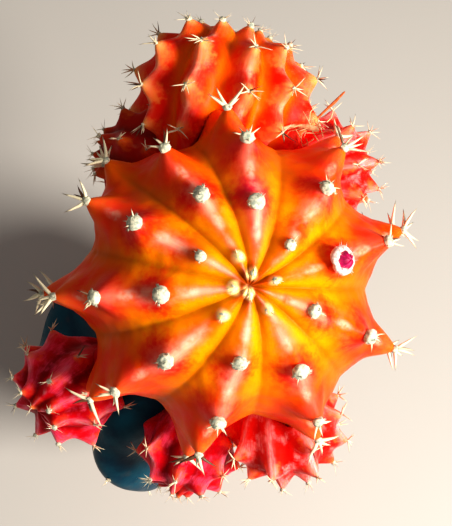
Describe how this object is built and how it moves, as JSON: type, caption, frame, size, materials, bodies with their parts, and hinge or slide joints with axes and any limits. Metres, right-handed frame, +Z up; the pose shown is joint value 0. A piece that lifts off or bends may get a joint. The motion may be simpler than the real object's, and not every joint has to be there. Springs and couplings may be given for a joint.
{
  "type": "potted moon cactus",
  "caption": "Grafted moon cactus with a ribbed orange head and red offsets on a winged green stock, in a clay pot.",
  "frame": {"origin": "centre of the pot's underside", "axes": "+Z up through the pot, +Y towards the largest offset, -Y towards the three front offsets"},
  "size_m": [0.0706, 0.0898, 0.1633],
  "materials": {
    "clay": "matt fired clay",
    "soil": "crumbly potting soil",
    "stock_skin": "waxy blue-green skin",
    "head_flesh": "waxy orange skin, yellow in the furrows",
    "back_offset_flesh": "waxy orange-red skin",
    "offset_flesh": "waxy crimson skin",
    "wool": "felted cream wool",
    "spines": "pale straw",
    "flower_bud": "magenta petals"
  },
  "bodies": {
    "root": {"pot": "clay", "soil": "soil", "stock": "stock_skin", "head_main": "head_flesh", "offset_back": "back_offset_flesh", "offset_back_right": "offset_flesh", "offset_back_left": "offset_flesh", "offset_front_left": "offset_flesh", "offset_front": "offset_flesh", "offset_front_right": "offset_flesh"}
  },
  "joints": []
}
